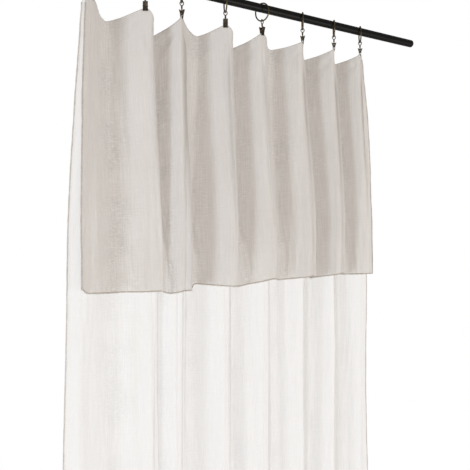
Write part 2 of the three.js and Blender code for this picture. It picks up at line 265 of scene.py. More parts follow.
def cloth_material(name, light, dark, slub, opacity, through, seed):
    """Open plain-woven gauze: threads, slubs and uneven density, seen through in between, with
    painted shade along the creases and painted highlights where it crinkles.
    """
    n = Nodes(name)
    flat_at = n.add("UVMap", uv_map="cloth").outputs[0]
    shift = (seed * 1.7, seed * 0.9, 0)  # gives each layer its own cloth
    at = n.add("VectorMath", {0: flat_at, 1: shift}, operation="ADD").outputs[0]

    # Threads that wander a little, and uneven thick ones (slubs) both ways.
    wander = {0: n.noise(at, 60.0, 2.0), 1: (THREAD_WANDER, THREAD_WANDER, 0), 2: at}
    woven = n.add("VectorMath", wander, operation="MULTIPLY_ADD").outputs[0]
    split = n.add("SeparateXYZ", {0: woven})
    turn = 2 * math.pi / THREAD_PITCH
    warp = n.math("SINE", n.math("MULTIPLY", split.outputs[0], turn))
    weft = n.math("SINE", n.math("MULTIPLY", split.outputs[1], turn * WEFT_SHARE))
    threads = n.math("MAXIMUM", warp, weft)
    weft_slub = n.noise(n.stretched(at, (26, 520, 1)), 1.0, 2.0, 0.55)
    warp_slub = n.noise(n.stretched(at, (430, 16, 1)), 1.0, 2.0, 0.55)
    streaks = n.weighted(weft_slub, 0.35, warp_slub, 0.65)

    # Colour: a cloudy tone, the slubs, and painted highlights, short light marks where the cloth
    # hangs loose and crinkles.
    busy = n.add("Attribute", attribute_name="crinkle").outputs["Fac"]
    strength = n.remap(busy, 0.0, 1.0, *CRINKLE_STRENGTH)
    patches = n.remap(n.noise(at, 13.0, 2.0), 0.44, 0.60, 0.12, 1.0)
    cloudy = n.math("MULTIPLY", n.noise(at, 9.0, 3.0, 0.6), 0.25)
    uneven = n.math("MULTIPLY", n.math("MULTIPLY", n.math("SUBTRACT", streaks, 0.5), 0.75), strength)
    tone = n.math("ADD", n.math("ADD", cloudy, 0.375), uneven)
    highlight_marks = n.remap(n.noise(n.stretched(at, (80, 360, 1)), 1.0, 2.0, 0.6), 0.50, 0.66, 0.0, 1.0)
    painted_highlights = n.math("MULTIPLY", highlight_marks, patches)
    painted_highlights = n.math("MULTIPLY", painted_highlights, n.remap(busy, 0.0, 1.0, *PAINTED_HIGHLIGHT_STRENGTH))
    plain = n.ramp(n.math("ADD", tone, painted_highlights), [(0.30, dark), (0.52, light), (0.86, slub)])
    # Painted shade: the colour is darkened along the creases, as the crease attribute gives.
    painted_shade = n.add("Attribute", attribute_name="crease").outputs["Fac"]
    colour = n.multiplied(plain, n.remap(painted_shade, 0.0, 1.0, 1.0, 1.0 - PAINTED_CREASE_SHADE))

    # Cover: less of it between slubs and in the gaps between threads.
    thin = n.remap(streaks, 0.34, 0.66, -0.022, 0.022)
    weave_open = n.remap(threads, -1.0, 1.0, -0.06, 0.02)
    cover = n.math("ADD", n.math("ADD", opacity, thin), weave_open, clamp=True)

    # Relief: threads, and crinkles that come in patches.
    crinkle = n.noise(n.stretched(at, (120, 230, 1)), 1.0, 3.0, 0.65, distortion=1.6)
    rough = n.math("MULTIPLY", n.weighted(streaks, 1.3, crinkle, 5.0), strength)
    height = n.math("ADD", n.math("MULTIPLY", threads, 0.2), n.math("MULTIPLY", rough, patches))
    normal = n.bump(height, BUMP_STRENGTH, CLOTH_RELIEF)
    solid = n.add(
        "BsdfPrincipled",
        {
            "Base Color": colour,
            "Roughness": 0.92,
            "Sheen Weight": 0.12,
            "Sheen Roughness": 0.5,
            "Specular IOR Level": 0.15,
            "Normal": normal,
        },
    )
    glow = n.add("BsdfTranslucent", {"Color": colour, "Normal": normal})
    body = n.add("MixShader", {0: through, 1: solid.outputs[0], 2: glow.outputs[0]})
    clear = n.add("BsdfTransparent")
    seen = n.add("MixShader", {0: cover, 1: clear.outputs[0], 2: body.outputs[0]})
    return n.output(seen.outputs[0])


STITCH_TURN = 2400.0  # radians of stitching in a metre of hem


def hem_material(name, light, dark):
    """The same gauze rolled up on itself and stitched, so it is dense and a little darker."""
    n = Nodes(name)
    at = n.add("UVMap", uv_map="cloth").outputs[0]
    slant = n.noise(n.stretched(at, (700, 90, 1)), 1.0, 2.0, 0.6)
    spots = n.noise(at, 240.0, 2.0)
    along = n.add("SeparateXYZ", {0: at}).outputs[0]
    stitch = n.math("SINE", n.math("MULTIPLY", along, STITCH_TURN))
    tone = n.weighted(slant, 0.6, spots, 0.4)
    colour = n.ramp(tone, [(0.35, dark), (0.6, light)])
    height = n.math("ADD", n.math("MULTIPLY", stitch, 0.4), tone)
    shader = n.add(
        "BsdfPrincipled",
        {
            "Base Color": colour,
            "Roughness": 0.9,
            "Sheen Weight": 0.1,
            "Specular IOR Level": 0.15,
            "Normal": n.bump(height, BUMP_STRENGTH, 0.0008),
        },
    )
    return n.output(shader.outputs[0])


def metal_material(name, dark, mid, bright, rough, scale=1.0):
    """Antique-finished metal: dark in the hollows, rubbed brighter on the edges."""
    n = Nodes(name)
    at = n.add("TexCoord").outputs["Object"]
    patches = n.noise(at, 260.0 * scale, 4.0, 0.65)
    grain = n.noise(at, 2400.0 * scale, 2.0)
    edges = n.add("NewGeometry").outputs["Pointiness"]
    rubbed = n.remap(edges, 0.5, 0.62, 0.0, 0.55)
    worn = n.math("ADD", patches, rubbed)
    tone = n.math("ADD", worn, n.remap(grain, 0.0, 1.0, -0.06, 0.06))
    colour = n.ramp(tone, [(0.36, dark), (0.55, mid), (0.92, bright)])
    roughness = n.remap(patches, 0.3, 0.7, rough + 0.12, rough - 0.06)
    shader = n.add(
        "BsdfPrincipled",
        {
            "Base Color": colour,
            "Metallic": 0.85,
            "Roughness": roughness,
            "Normal": n.bump(grain, 0.12, 0.00008),
        },
    )
    return n.output(shader.outputs[0])


def coated_material(name, dark, light, rough, bump_scale):
    """Satin black coating with a faint orange-peel and a few dusty, rubbed places."""
    n = Nodes(name)
    at = n.add("TexCoord").outputs["Object"]
    along = n.noise(n.stretched(at, (9, 60, 60)), 1.0, 4.0, 0.6)
    specks = n.noise(at, 900.0, 2.0)
    tone = n.weighted(along, 0.7, specks, 0.3)
    colour = n.ramp(tone, [(0.35, dark), (0.7, light)])
    shader = n.add(
        "BsdfPrincipled",
        {
            "Base Color": colour,
            "Roughness": n.remap(along, 0.3, 0.7, rough - 0.05, rough + 0.08),
            "Specular IOR Level": 0.12,
            "Normal": n.bump(n.noise(at, bump_scale, 2.0), 0.1, 0.00012),
        },
    )
    return n.output(shader.outputs[0])


# Each colour is linear red, green and blue. The numbers after them are the roughness and the
# grain's scale; for the cloth, the cover, the light let through and the seed.
ROD_COAT = coated_material(
    "rod_coat", (0.0022, 0.0019, 0.0016), (0.006, 0.0051, 0.0042), 0.42, 700
)
CAP_PLASTIC = coated_material(
    "cap_plastic", (0.008, 0.0075, 0.007), (0.013, 0.012, 0.012), 0.55, 1300
)
RING_METAL = metal_material(
    "ring_metal", (0.028, 0.021, 0.013), (0.07, 0.052, 0.030), (0.26, 0.19, 0.105), 0.38
)
LINK_METAL = metal_material(
    "link_metal", (0.020, 0.015, 0.0095), (0.048, 0.036, 0.022), (0.26, 0.20, 0.12), 0.36, 1.6
)
CLIP_METAL = metal_material(
    "clip_metal", (0.012, 0.0095, 0.007), (0.032, 0.024, 0.016), (0.20, 0.15, 0.095), 0.38, 1.3
)
PIN_METAL = metal_material(
    "pin_metal", (0.05, 0.038, 0.022), (0.13, 0.098, 0.055), (0.38, 0.29, 0.17), 0.34, 2.0
)
SPRING_METAL = metal_material(
    "spring_metal", (0.06, 0.055, 0.048), (0.16, 0.145, 0.125), (0.34, 0.32, 0.28), 0.30, 2.2
)

FLAP_GAUZE = cloth_material(
    "flap_gauze", (0.77, 0.743, 0.721), (0.715, 0.68, 0.645), (0.86, 0.84, 0.825), 0.92, 0.30, 1
)
PANEL_GAUZE = cloth_material(
    "panel_gauze", (0.905, 0.893, 0.885), (0.86, 0.845, 0.83), (0.94, 0.932, 0.926), 0.56, 0.42, 2
)
FLAP_HEM = hem_material("flap_hem", (0.54, 0.495, 0.445), (0.38, 0.34, 0.295))
PANEL_HEM = hem_material("panel_hem", (0.62, 0.585, 0.545), (0.46, 0.43, 0.39))


# ---- mesh tools -----------------------------------------------------------------------


def mesh_object(name, vertices, faces, material, smooth=True, uvs=None):
    """A mesh from its points and faces; uvs are in metres of cloth."""
    data = bpy.data.meshes.new(name)
    data.from_pydata([tuple(v) for v in vertices], [], [tuple(f) for f in faces])
    data.materials.append(material)
    if smooth:
        data.polygons.foreach_set("use_smooth", [True] * len(data.polygons))
    if uvs is not None:
        layer = data.uv_layers.new(name="cloth")
        corner = np.empty(len(data.loops), dtype=np.int32)
        data.loops.foreach_get("vertex_index", corner)
        layer.data.foreach_set("uv", np.asarray(uvs, dtype=np.float32)[corner].ravel())
    data.validate()
    data.update()
    return new_object(name, data)


def grid_faces(rows, columns, close_rows=False, close_columns=False, start=0):
    """The four-sided faces of a grid of points, which may close round on itself."""
    faces = []
    for r in range(rows if close_rows else rows - 1):
        for c in range(columns if close_columns else columns - 1):
            r2, c2 = (r + 1) % rows, (c + 1) % columns
            faces.append(
                (
                    start + r * columns + c,
                    start + r2 * columns + c,
                    start + r2 * columns + c2,
                    start + r * columns + c2,
                )
            )
    return faces


def frames_along(path, closed=False):
    """Unit tangents and two unit normals for each point of a path, with no sudden twist."""
    path = np.asarray(path, float)
    if closed:
        tangents = np.roll(path, -1, 0) - np.roll(path, 1, 0)
    else:
        tangents = np.gradient(path, axis=0)
    tangents /= np.linalg.norm(tangents, axis=1)[:, None]
    first = np.cross(tangents[0], (0.31, 0.52, 0.79))
    normals = [first / np.linalg.norm(first)]
    for t in tangents[1:]:
        n = normals[-1] - t * np.dot(normals[-1], t)
        normals.append(n / np.linalg.norm(n))
    normals = np.array(normals)
    return tangents, normals, np.cross(tangents, normals)


def tube_mesh(path, radius, sides=14, closed=False):
    """Vertices and faces of a round wire; radius may vary along it."""
    path = np.asarray(path, float)
    _, a, b = frames_along(path, closed)
    radius = np.broadcast_to(np.asarray(radius, float), (len(path),))
    turn = np.linspace(0, 2 * np.pi, sides, endpoint=False)
    ring = a[:, None] * np.cos(turn)[None, :, None] + b[:, None] * np.sin(turn)[None, :, None]
    vertices = (path[:, None] + ring * radius[:, None, None]).reshape(-1, 3)
    faces = grid_faces(len(path), sides, close_rows=closed, close_columns=True)
    faces = [tuple(reversed(f)) for f in faces]
    if not closed:
        faces.append(tuple(range(sides)))
        faces.append(tuple(reversed(range((len(path) - 1) * sides, len(path) * sides))))
    return vertices, faces


def joined(parts):
    """Several (vertices, faces) as one."""
    vertices, faces, start = [], [], 0
    for part_vertices, part_faces in parts:
        vertices.append(np.asarray(part_vertices, float))
        faces.extend([tuple(start + i for i in f) for f in part_faces])
        start += len(part_vertices)
    return np.concatenate(vertices), faces


def lathe_mesh(profile, segments=64):
    """A profile of (radius, x) turned about the X axis; it starts and ends on the axis."""
    inner = profile[1:-1]
    turn = np.linspace(0, 2 * np.pi, segments, endpoint=False)
    vertices = []
    for r, x in inner:
        for t in turn:
            vertices.append((x, r * math.cos(t), r * math.sin(t)))
    faces = grid_faces(len(inner), segments, close_columns=True)
    first, last = len(vertices), len(vertices) + 1
    vertices.append((profile[0][1], 0, 0))
    vertices.append((profile[-1][1], 0, 0))
    base = (len(inner) - 1) * segments
    for k in range(segments):
        k2 = (k + 1) % segments
        faces.append((first, k, k2))
        faces.append((last, base + k2, base + k))
    return np.array(vertices), faces


def tidy_normals(obj):
    """Turns every closed shell of a mesh outwards."""
    work = bmesh.new()
    work.from_mesh(obj.data)
    bmesh.ops.recalc_face_normals(work, faces=work.faces)
    work.to_mesh(obj.data)
    work.free()


def smooth_curve(points, per_span=8):
    """Points of a Catmull-Rom curve through the given points."""
    p = [np.asarray(q, float) for q in points]
    p = [2 * p[0] - p[1]] + p + [2 * p[-1] - p[-2]]
    out = []
    for k in range(1, len(p) - 2):
        for s in np.linspace(0, 1, per_span, endpoint=False):
            a = 2 * p[k]
            b = (p[k + 1] - p[k - 1]) * s
            c = (2 * p[k - 1] - 5 * p[k] + 4 * p[k + 1] - p[k + 2]) * s**2
            d = (3 * p[k] - p[k - 1] - 3 * p[k + 1] + p[k + 2]) * s**3
            out.append(0.5 * (a + b + c + d))
    out.append(p[-2])
    return np.array(out)


def bevel(obj, width):
    """Rounds the sharp edges of a thin plate."""
    modifier = obj.modifiers.new("edge", "BEVEL")
    modifier.width = width
    modifier.segments = 2
    modifier.limit_method = "ANGLE"
    modifier.angle_limit = math.radians(35)


# ---- the rod --------------------------------------------------------------------------

ROD_EDGE = [(0.0, 0.0011), (0.0, 0.0004), (0.0004, 0.0)]  # (depth, inset) at the cut end
PLUG_GAP = 0.0001
PLUG_EDGE = [  # (inset, back from the plug's outer face)
    (0.0, 0.0010),
    (0.0002, 0.0005),
    (0.0006, 0.0001),
    (0.0011, 0.0),
    (0.0030, 0.0),
]

rod_low, rod_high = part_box("rod_tube")
ROD_RADIUS = (rod_high[2] - rod_low[2]) / 2
plug_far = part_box("rod_cap_right")[1][0]

rod_profile = [(0.0, rod_low[0])]
rod_profile += [(ROD_RADIUS - inset, rod_low[0] + depth) for depth, inset in ROD_EDGE]
rod_profile += [(ROD_RADIUS, x) for x in np.linspace(rod_low[0] + 0.02, rod_high[0] - 0.02, 26)]
rod_profile += [(ROD_RADIUS - inset, rod_high[0] - depth) for depth, inset in reversed(ROD_EDGE)]
rod_profile.append((0.0, rod_high[0]))
rod = mesh_object("rod_body", *lathe_mesh(rod_profile, 96), ROD_COAT)
tidy_normals(rod)
rod.data.set_sharp_from_angle(angle=SHARP_ANGLE)
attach(rod, "rod")
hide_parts("rod_tube")

plug_profile = [
    (0.0, rod_high[0] + PLUG_GAP),
    (ROD_RADIUS - 0.0005, rod_high[0] + PLUG_GAP),
    (ROD_RADIUS - 0.0001, rod_high[0] + 0.0004),
]
plug_profile += [(ROD_RADIUS - inset, plug_far - back) for inset, back in PLUG_EDGE]
plug_profile.append((0.0, plug_far))
for name, side in (("right", 1), ("left", -1)):
    vertices, faces = lathe_mesh(plug_profile, 72)
    vertices[:, 0] *= side
    cap = mesh_object(f"rod_plug_{name}", vertices, faces, CAP_PLASTIC)
    tidy_normals(cap)
    cap.data.set_sharp_from_angle(angle=SHARP_ANGLE)
    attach(cap, "rod")
    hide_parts(f"rod_cap_{name}")

# ---- rings, links and clips -----------------------------------------------------------

RING_YAW = [-20, -34, -38, -37, 0, -46, -47, -46]  # degrees from square across the rod
RING_RADIUS = 19.4 * MM
RING_WIRE = 1.6 * MM
RING_STEPS = 88
RING_WEAR = 0.02  # share of the wire's thickness that comes and goes round the ring
LINK_WIRE = 0.70 * MM
EYE_WIRE = 1.0 * MM
EYE_RADIUS = 3.7 * MM
EYE_HEIGHT = 4.62 * MM
EYE_DROP = 1.68 * MM  # from the middle of the ring's wire down to the middle of the eye
POST_RADIUS = 1.2 * MM
POST_FOOT = 4.9 * MM  # above the clip's pin
COLLAR_RADIUS = 1.9 * MM
COLLAR_FOOT = 10.3 * MM
LOOP_RADIUS = 1.5 * MM
LOOP_OFFSET = 1.0 * MM
PIN_RADIUS = 0.65 * MM
PIN_HEAD_RADIUS = 1.1 * MM
EAR_RADIUS = 1.8 * MM
EAR_SHEET = 0.65 * MM
EAR_REACH = 2.75 * MM
EAR_HOLE = 0.80 * MM
BACK_EAR_AT = 4.35 * MM  # along the pin, from the clip's middle
FRONT_EAR_AT = 3.3 * MM
CLIP_HALF = 5.0 * MM
CLIP_SHEET = 0.7 * MM
CLIP_BEVEL = 0.13 * MM
JAW_CROWN = 0.10 * MM
TOOTH_HEIGHT = 0.28 * MM
TEETH = 5
HANDLE_SPREAD = 4.9 * MM
HANDLE_RISE = 7.9 * MM
WAIST_SPREAD = 2.75 * MM
SPRING_WIRE = 0.25 * MM
SPRING_COIL = 1.35 * MM
SPRING_TURNS = 2.5
SPRING_FROM, SPRING_TO = -1.85 * MM, -0.05 * MM
SPRING_LEG = [4.2 * MM, 3.0 * MM, 1.6 * MM]  # heights of a leg's points above the pin
JAW_LINE = [  # (out from the middle plane, above the pin), in millimetres
    (5.4, 8.5),
    (4.85, 7.8),
    (3.9, 4.3),
    (2.8, 0.3),
    (2.45, -2.5),
    (1.95, -6.0),
    (1.5, -10.0),
]
WING_LINE = [(2.14, -4.9), (1.1, -2.7), (1.2, 2.4), (1.4, 7.4), *JAW_LINE[1:5]]


def turned(vertices, yaw, x):
    """From a clip's own axes (width, back, up) to the row frame."""
    c, s = math.cos(yaw), math.sin(yaw)
    v = np.asarray(vertices, float)
    return np.stack([v[:, 0] * c - v[:, 1] * s + x, v[:, 0] * s + v[:, 1] * c, v[:, 2]], 1)


def jaw_mesh(side, ear_at, pin_z):
    """One bent plate with toothed tip and two ears, in the clip's own axes."""
    line = smooth_curve([(n * MM * side, pin_z + z * MM) for n, z in JAW_LINE], 5)
    along = np.gradient(line, axis=0)
    along /= np.linalg.norm(along, axis=1)[:, None]
    across = np.stack([-along[:, 1], along[:, 0]], 1)
    share = np.linspace(0, 1, len(line))
    half = np.interp(share, [0, 0.04, 0.1, 1], [0.84, 0.96, 1.0, 1.0]) * CLIP_HALF
    columns = np.linspace(-1, 1, 21)
    vertices = []
    for skin in (-1, 1):
        for k, (point, off, w) in enumerate(zip(line, across, half)):
            for c in columns:
                n = point[0] + off[0] * skin * CLIP_SHEET / 2
                z = point[1] + off[1] * skin * CLIP_SHEET / 2
                if k >= len(line) - 2:
                    z += TOOTH_HEIGHT * (0.5 + 0.5 * math.cos(c * TEETH * math.pi))
                crown = JAW_CROWN * (1 - c * c) * side
                vertices.append((c * w, n + crown, z))
    rows, width = len(line), len(columns)
    faces = grid_faces(rows, width)
    faces += grid_faces(rows, width, start=rows * width)
    count = rows * width
    for r in range(rows - 1):
        for c in (0, width - 1):
            a, b = r * width + c, (r + 1) * width + c
            faces.append((a, b, b + count, a + count))
    for c in range(width - 1):
        for r in (0, rows - 1):
            a = r * width + c
            faces.append((a, a + 1, a + 1 + count, a + count))
    parts = [(np.array(vertices), faces)]
    turn = np.linspace(0, 2 * np.pi, 40, endpoint=False)
    for end in (-1, 1):
        start = ear_at if end > 0 else -ear_at - EAR_SHEET
        tab = []
        for x in (start, start + EAR_SHEET):
            for hole in (False, True):
                for t in turn:
                    c, s = math.cos(t), math.sin(t)
                    if hole:
                        r = EAR_HOLE
                    elif c * side > 0:
                        r = min(EAR_REACH / max(abs(c), 1e-6), EAR_RADIUS / max(abs(s), 1e-6))
                    else:
                        r = EAR_RADIUS
                    tab.append((x, r * c, pin_z + r * s))
        k = len(turn)
        ring = []
        for j in range(k):
            j2 = (j + 1) % k
            for a, b in ((0, 1), (1, 3), (3, 2), (2, 0)):
                ring.append((a * k + j, a * k + j2, b * k + j2, b * k + j))
        parts.append((np.array(tab), ring))
        wing = []
        for x in (start, start + EAR_SHEET):
            wing += [(x, side * n * MM, pin_z + z * MM) for n, z in WING_LINE]
        m = len(WING_LINE)
        wing_faces = [(j, (j + 1) % m, (j + 1) % m + m, j + m) for j in range(m)]
        wing_faces += [tuple(range(m)), tuple(range(2 * m - 1, m - 1, -1))]
        parts.append((np.array(wing), wing_faces))
    return joined(parts)


def spring_mesh(pin_z):
    """A torsion spring round the pin, a leg up the inside of each handle."""
    lean = (HANDLE_SPREAD - WAIST_SPREAD) / HANDLE_RISE
    points = [(SPRING_FROM, SPRING_COIL + up * lean, pin_z + up) for up in SPRING_LEG]
    for s in np.linspace(0, 1, 57):
        t = s * SPRING_TURNS * 2 * math.pi
        x = SPRING_FROM + (SPRING_TO - SPRING_FROM) * s
        points.append((x, SPRING_COIL * math.cos(t), pin_z - SPRING_COIL * math.sin(t)))
    points += [(SPRING_TO, -SPRING_COIL - up * lean, pin_z + up) for up in reversed(SPRING_LEG)]
    return tube_mesh(smooth_curve(points, 2), SPRING_WIRE, 8)


def pin_mesh(pin_z):
    """The clip's hinge pin with a domed rivet head at each end."""
    half = 5.7 * MM
    profile = [
        (0.0, -half),
        (0.45 * MM, -half + 0.02 * MM),
        (0.85 * MM, -half + 0.14 * MM),
        (PIN_HEAD_RADIUS, -half + 0.36 * MM),
        (PIN_HEAD_RADIUS, -half + 0.5 * MM),
        (PIN_RADIUS, -half + 0.5 * MM),
    ]
    profile += [(r, -x) for r, x in reversed(profile)]
    vertices, faces = lathe_mesh(profile, 28)
    vertices[:, 2] += pin_z
    return vertices, faces


def circle(radius, count, centre, u, v):
    """Points round a circle, or round an oval if the axes u and v differ in length."""
    t = np.linspace(0, 2 * np.pi, count, endpoint=False)[:, None]
    return np.asarray(centre) + radius * (np.cos(t) * np.asarray(u) + np.sin(t) * np.asarray(v))


def ring_mesh(x, yaw, centre_z, seed):
    """A slightly worn wire ring."""
    path = circle(RING_RADIUS, RING_STEPS, (0, 0, 0), (0, 1, 0), (0, 0, 1))
    path = turned(path, yaw, x) + np.array((0, 0, centre_z))
    around = np.linspace(0, 2 * np.pi, RING_STEPS, endpoint=False)
    phase = np.random.default_rng(seed).uniform(0, 6)
    uneven = 1 - RING_WEAR * (1 + np.sin(3 * around + phase))
    return tube_mesh(path, RING_WIRE * uneven, 18, closed=True)


def link_mesh(x, yaw, ring_yaw, pin_z, eye_z):
    """An oval eye round the ring, a stem with a collar, and a loop round the clip's pin."""
    eye = circle(EYE_RADIUS, 44, (0, 0, eye_z), (1, 0, 0), (0, 0, EYE_HEIGHT / EYE_RADIUS))
    eye = turned(eye, ring_yaw, x)
    loop = circle(LOOP_RADIUS, 28, (LOOP_OFFSET, 0, pin_z), (0, 1, 0), (0, 0, 1))
    loop = turned(loop, yaw, x)
    side = turned([(LOOP_OFFSET, 0, 0)], yaw, 0)[0]
    foot, collar, head = pin_z + POST_FOOT, pin_z + COLLAR_FOOT, eye_z - EYE_HEIGHT
    heights = [foot + 1.4 * MM, collar - 0.2 * MM, collar, collar + 0.5 * MM]
    heights += [(collar + head) / 2, head - 1.0 * MM, head - 0.4 * MM, head]
    stem = [
        (x + side[0], side[1], pin_z + LOOP_RADIUS - 0.1 * MM),
        (x + side[0], side[1], pin_z + LOOP_RADIUS + 1.0 * MM),
        (x + side[0] * 0.2, side[1] * 0.2, foot - 0.3 * MM),
        (x, 0, foot + 0.6 * MM),
    ]
    stem = smooth_curve(stem + [(x, 0, height) for height in heights], 4)
    gauge_at = [foot - 0.6 * MM, foot + 0.2 * MM, *heights[1:]]
    gauges = [LINK_WIRE, POST_RADIUS, POST_RADIUS]
    gauges += [COLLAR_RADIUS * share for share in (0.9, 1.0, 0.92, 1.0, 0.85)]
    gauge = np.interp(stem[:, 2], gauge_at, [*gauges, EYE_WIRE])
    return joined(
        [
            tube_mesh(eye, EYE_WIRE, 14, closed=True),
            tube_mesh(loop, LINK_WIRE, 12, closed=True),
            tube_mesh(stem, gauge, 14),
        ]
    )


def finish_piece(name, mesh, material, body, node):
    """Makes a piece that rides a body, or rides none when body is None."""
    piece = mesh_object(name, *mesh, material)
    tidy_normals(piece)
    piece.data.set_sharp_from_angle(angle=SHARP_ANGLE)
    if body:
        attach(piece, body)
    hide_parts(node)
    return piece


hangers = []  # (x, yaw) of each clip
for i in range(1, HANGERS + 1):
    jaw = JOINTS[f"jaw_open_{i}"]
    x, pin_z = jaw["pos_m"][0], jaw["pos_m"][2]
    yaw = math.atan2(-jaw["axis"][1], -jaw["axis"][0])
    ring_yaw = math.radians(RING_YAW[i - 1])
    ring_low, ring_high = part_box(f"ring_{i}")
    ring_z = (ring_low[2] + ring_high[2]) / 2
    body = "curtain" if i == 1 else f"hanger_{i}"
    hangers.append((x, yaw))

    mesh = ring_mesh(x, ring_yaw, ring_z, seed=100 + i)
    finish_piece(f"hung_ring_{i}", mesh, RING_METAL, f"ring_body_{i}", f"ring_{i}")

    mesh = link_mesh(x, yaw, ring_yaw, pin_z, ring_z - RING_RADIUS - EYE_DROP)
    finish_piece(f"wire_link_{i}", mesh, LINK_METAL, body, f"link_{i}")

    for side_name, side, ear_at, jaw_body in (
        ("back", 1, BACK_EAR_AT, body),
        ("front", -1, FRONT_EAR_AT, f"jaw_{i}"),
    ):
        vertices, faces = jaw_mesh(side, ear_at, pin_z)
        mesh = (turned(vertices, yaw, x), faces)
        name, node = f"jaw_{side_name}_{i}", f"clip_{side_name}_{i}"
        bevel(finish_piece(name, mesh, CLIP_METAL, jaw_body, node), CLIP_BEVEL)

    vertices, faces = pin_mesh(pin_z)
    mesh = (turned(vertices, yaw, x), faces)
    finish_piece(f"rivet_{i}", mesh, PIN_METAL, body, f"clip_pin_{i}")

    vertices, faces = spring_mesh(pin_z)
    mesh = (turned(vertices, yaw, x), faces)
    name, node = f"coil_spring_{i}", f"clip_spring_{i}"
    spring = finish_piece(name, mesh, SPRING_METAL, None, node)
    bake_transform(spring)

# ---- the cloth ------------------------------------------------------------------------

# In millimetres, x along the rod, y to the back and z up. A fold has a tip at every clip and a
# valley between two clips, so the lists hold one number for each clip or for each valley.
PINCH_OFFSET = 0.55  # from the clip's middle plane to the middle of each layer
CLOTH_TOP_Z = -55.0
PINCH_DEPTH = 8.0  # how far down the clips hold the cloth
LEFT_SAG, RIGHT_SAG = 6, 3  # of the top edge at the free ends
SAG_FALL, SAG_RISE = 1.5, 1.25  # how sharply the top edge leaves a clip and comes back to one
SAG_LOST = 0.85  # share of the sag that the cloth has lost where the flap ends
FLAP_DROP = 545.0
PANEL_DROP = 2445.0
PANEL_SETBACK = 21.0  # how far the panel has moved back where the flap ends
VALLEY_X = [-346, -223, -106, 2, 131, 260, 371]
VALLEY_Y = [46, 50, 40, 47, 42, 48, 42]
TOP_SAG = [27, 39, 24, 36, 22, 28, 26]
LOW_TIP_X = [-428, -250, -197, -55, 68, 205, 319, 428]  # where the flap ends
LOW_TIP_Y = [-8, -1, -24, -24, -26, -24, -22, -18]
LOW_VALLEY_X = [-330, -222, -116, 4, 134, 262, 374]
LOW_VALLEY_Y = [26, 13, 42, 30, 30, 40, 30]
HEM_PUSH = [0, -18, 0, -22, -8, 0, 0]  # added to a valley's y at the flap's hem
TIP_LIFT = [-4, -8, -9, -6, 5, 6, 9, 5]  # how much higher the cloth hangs at the flap's hem
VALLEY_LIFT = [-3, -8, 4, -1, 3, 3, 8]
EDGE_LIFT = 6
FLAP_LEFT = [(-441, -9), (-456, -16)]  # (x, y) of an edge at the top and at the flap's hem
FLAP_RIGHT = [(425, 3), (450, -11)]
PANEL_LEFT = [(-448, -8), (-457, 2), (-480, 0)]  # and at the panel's foot
PANEL_RIGHT = [(428, 6), (454, -14), (450, -6)]
LEFT_EASE, RIGHT_EASE = 2.4, 2.2  # how soon each edge moves from its top place to the next
HEM_EASE = 0.78  # share of the folds' depth that the flap's hem keeps
HEM_EASE_FROM = 380
PANEL_SOFTEN = 0.72  # share that the panel keeps where the flap ends
FOOT_SOFTEN = 0.6  # and at its foot
PANEL_FLARE = 9.0  # how far the panel's free left edge swings out on its way down
FLARE_FROM, FLARE_OVER = 380, 800  # the depths over which it does
FLARE_WIDTH = 130
STILL_REACH, STILL_EASE = 7, 60  # no ripples this near a clip, and all of them this much further
COLUMNS = 560
CROWD, CROWD_AT, CROWD_WIDTH = 1.6, 5, 12  # extra columns just right of each clip
ANY_PHASE = (0, 6.28)


def mix(a, b, t):
    """From a at t = 0 to b at t = 1."""
    return a + (b - a) * t


def smooth(t):
    """0 below 0, 1 above 1 and an even rise between."""
    s = np.clip(t, 0, 1)
    return s * s * (3 - 2 * s)


def hill(t):
    """1 at 0, falling off evenly on both sides."""
    return np.exp(-(t**2))


def plan_knots(sink, foot, soften, push, left, right):
    """The line a layer follows in plan at one height, as rows of x, y, slope, top, lift."""
    low = float(smooth(sink))

    def edge(ends, share):
        if foot > 0:
            return [mix(ends[1][k], ends[2][k], foot) for k in (0, 1)]
        return [mix(ends[0][k], ends[1][k], share) for k in (0, 1)]

    left_slope, right_slope = (math.tan(hangers[k][1]) * (1 - low) for k in (0, -1))
    left_x, left_y = edge(left, 1 - (1 - sink) ** LEFT_EASE)
    right_x, right_y = edge(right, 1 - (1 - sink) ** RIGHT_EASE)
    knots = [(left_x, left_y, left_slope, CLOTH_TOP_Z - LEFT_SAG, EDGE_LIFT)]
    for k, (x, yaw) in enumerate(hangers):
        slope = math.tan(yaw) * (1 - low)
        reach = CLIP_HALF / MM * math.cos(yaw)
        at_x = mix(x / MM, LOW_TIP_X[k], low)
        at_y = mix(0, LOW_TIP_Y[k], low) * soften
        knots.append((at_x - reach, at_y - reach * slope, slope, CLOTH_TOP_Z, TIP_LIFT[k]))
        knots.append((at_x + reach, at_y + reach * slope, slope, CLOTH_TOP_Z, TIP_LIFT[k]))
        if k < HANGERS - 1:
            knots.append(
                (
                    mix(VALLEY_X[k], LOW_VALLEY_X[k], low),
                    (mix(VALLEY_Y[k], LOW_VALLEY_Y[k], low) + HEM_PUSH[k] * push) * soften,
                    0,
                    CLOTH_TOP_Z - TOP_SAG[k],
                    VALLEY_LIFT[k],
                )
            )
    knots.append((right_x, right_y, right_slope, CLOTH_TOP_Z - RIGHT_SAG, EDGE_LIFT))
    return np.array(knots, float)


